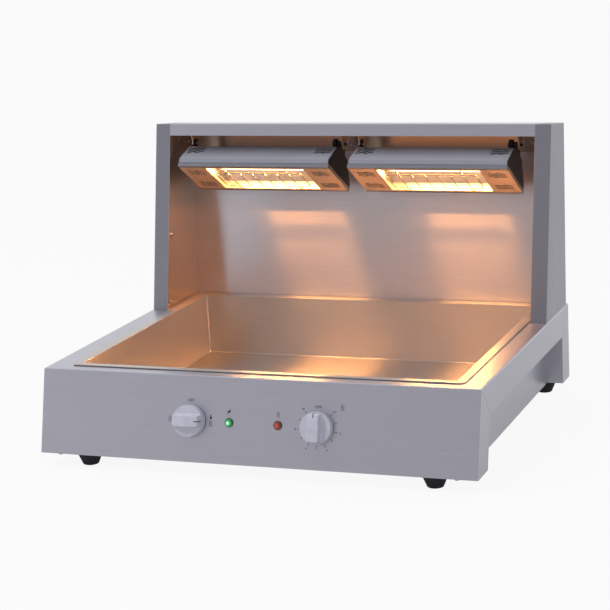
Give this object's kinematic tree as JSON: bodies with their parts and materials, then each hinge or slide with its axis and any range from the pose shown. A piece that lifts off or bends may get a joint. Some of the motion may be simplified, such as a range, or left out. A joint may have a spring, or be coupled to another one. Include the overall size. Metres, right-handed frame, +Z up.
{
  "type": "fry warmer",
  "caption": "Counter-top fry warmer: heated lift-out pan in a low steel casing with a sloping control panel, under a raked canopy that carries tilting lamp heads.",
  "frame": {"origin": "on the standing surface, under the middle of the whole box", "axes": "+X to the user's right, +Y from the control panel to the rear, +Z up"},
  "size_m": [0.7, 0.6174, 0.4642],
  "materials": {
    "brushed_steel": "fine straight brushed stainless sheet",
    "pan_steel": "satin stainless pressing",
    "liner_steel": "bright stainless sheet, close to a mirror",
    "galvanised_steel": "zinc-coated sheet",
    "lamp_steel": "satin stainless sheet",
    "end_plate_steel": "dark heat-toned steel",
    "reflector_aluminium": "polished reflector sheet",
    "wire_steel": "plated round wire",
    "quartz_glass": "clear quartz tube",
    "filament_wire": "glowing coiled wire",
    "steatite": "fired ceramic",
    "heater_sheath": "oxidised metal sheath",
    "copper_probe": "drawn copper",
    "fibre_board": "pressed mineral fibre",
    "screw_steel": "bright plated",
    "shaft_steel": "drawn bar",
    "silver_knob_plastic": "silver-coloured moulding, satin",
    "black_plastic": "black moulding",
    "green_lens": "translucent moulding, lit",
    "red_lens": "translucent moulding, unlit",
    "foot_rubber": "moulded rubber",
    "pad_silicone": "thin moulded pads"
  },
  "bodies": {
    "base": {"casing": "brushed_steel", "side_panel_left": "brushed_steel", "side_panel_right": "brushed_steel", "upright_left": "brushed_steel", "upright_right": "brushed_steel", "roof": "brushed_steel", "rear_cover": "brushed_steel", "side_liner_left": "liner_steel", "side_liner_right": "liner_steel", "back_liner": "liner_steel", "lamp_hood": "liner_steel", "hanger_left": "liner_steel", "hanger_right": "liner_steel", "hanger_middle": "liner_steel", "bottom_plate": "galvanised_steel", "element_strips": "galvanised_steel", "control_nuts": "galvanised_steel", "base_element": "heater_sheath", "thermostat_probe": "copper_probe", "insulation_board": "fibre_board", "foot_screws": "screw_steel", "bottom_screws": "screw_steel", "liner_screws": "screw_steel", "hood_screws": "screw_steel", "rear_screws": "screw_steel", "hanger_screws": "screw_steel", "pivot_screws": "screw_steel", "selector_switch": "black_plastic", "thermostat": "black_plastic", "terminal_block": "black_plastic", "cable_gland": "black_plastic", "pilot_bodies": "black_plastic", "pilot_lens_power": "green_lens", "pilot_lens_heat": "red_lens", "rubber_feet": "foot_rubber", "pan_pads": "pad_silicone"},
    "pan": {"pan": "pan_steel"},
    "selector": {"selector_knob": "silver_knob_plastic", "selector_shaft": "shaft_steel"},
    "thermostat_dial": {"thermostat_knob": "silver_knob_plastic", "thermostat_shaft": "shaft_steel"},
    "star_left": {"star_knob_left": "black_plastic"},
    "star_right": {"star_knob_right": "black_plastic"},
    "lamp_left": {"lamp_left_housing": "lamp_steel", "lamp_left_ends": "end_plate_steel", "lamp_left_face": "lamp_steel", "lamp_left_reflector": "reflector_aluminium", "lamp_left_tube": "quartz_glass", "lamp_left_filament": "filament_wire", "lamp_left_holders": "steatite", "lamp_left_guard": "wire_steel"},
    "lamp_right": {"lamp_right_housing": "lamp_steel", "lamp_right_ends": "end_plate_steel", "lamp_right_face": "lamp_steel", "lamp_right_reflector": "reflector_aluminium", "lamp_right_tube": "quartz_glass", "lamp_right_filament": "filament_wire", "lamp_right_holders": "steatite", "lamp_right_guard": "wire_steel"}
  },
  "joints": [
    {"name": "pan_lift", "type": "slide", "parent": "base", "child": "pan", "axis": [0, 0, 1], "range_m": [0, 0.11]},
    {"name": "selector_turn", "type": "hinge", "parent": "base", "child": "selector", "pos_m": [-0.0997, -0.28142, 0.08214], "axis": [0, -0.9715, 0.2371], "range_deg": [0, 180]},
    {"name": "thermostat_turn", "type": "hinge", "parent": "base", "child": "thermostat_dial", "pos_m": [0.1043, -0.28142, 0.08214], "axis": [0, -0.9715, 0.2371], "range_deg": [-315, 0]},
    {"name": "lamp_left_tilt", "type": "hinge", "parent": "base", "child": "lamp_left", "pos_m": [-0.15235, 0.22731, 0.4262], "axis": [1, 0, 0], "range_deg": [-15, 15]},
    {"name": "star_left_turn", "type": "hinge", "parent": "base", "child": "star_left", "pos_m": [-0.0178, 0.22731, 0.4262], "axis": [1, 0, 0], "range_deg": [-180, 0]},
    {"name": "lamp_right_tilt", "type": "hinge", "parent": "base", "child": "lamp_right", "pos_m": [0.15235, 0.22731, 0.4262], "axis": [1, 0, 0], "range_deg": [-15, 15]},
    {"name": "star_right_turn", "type": "hinge", "parent": "base", "child": "star_right", "pos_m": [0.2869, 0.22731, 0.4262], "axis": [1, 0, 0], "range_deg": [-180, 0]}
  ]
}
